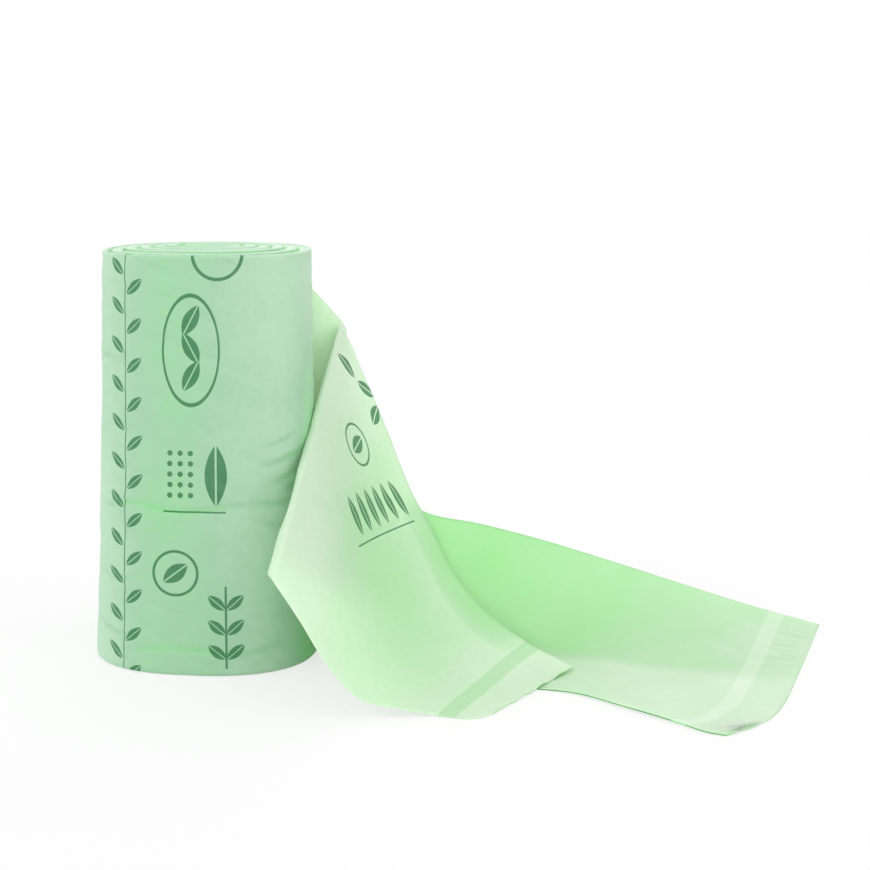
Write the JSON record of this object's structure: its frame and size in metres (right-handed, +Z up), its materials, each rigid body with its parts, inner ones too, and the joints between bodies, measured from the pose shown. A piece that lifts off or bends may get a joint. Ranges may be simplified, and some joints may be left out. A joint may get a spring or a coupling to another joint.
{
  "type": "bin bag roll",
  "caption": "Coreless oval roll of thin film bags standing on end, with one bag drawn off and draped and the bag after it lying flat on the floor.",
  "frame": {"origin": "middle of the roll's base, on the surface that it stands on", "axes": "+Z up along the roll, -Y towards the viewer, +X towards the loose bags"},
  "size_m": [0.3683, 0.1778, 0.2001],
  "materials": {
    "film": "thin matt translucent film, pale green, with darker green print"
  },
  "bodies": {
    "root": {"wound_roll": "film", "pulled_bag": "film", "loose_bag": "film"}
  },
  "joints": []
}
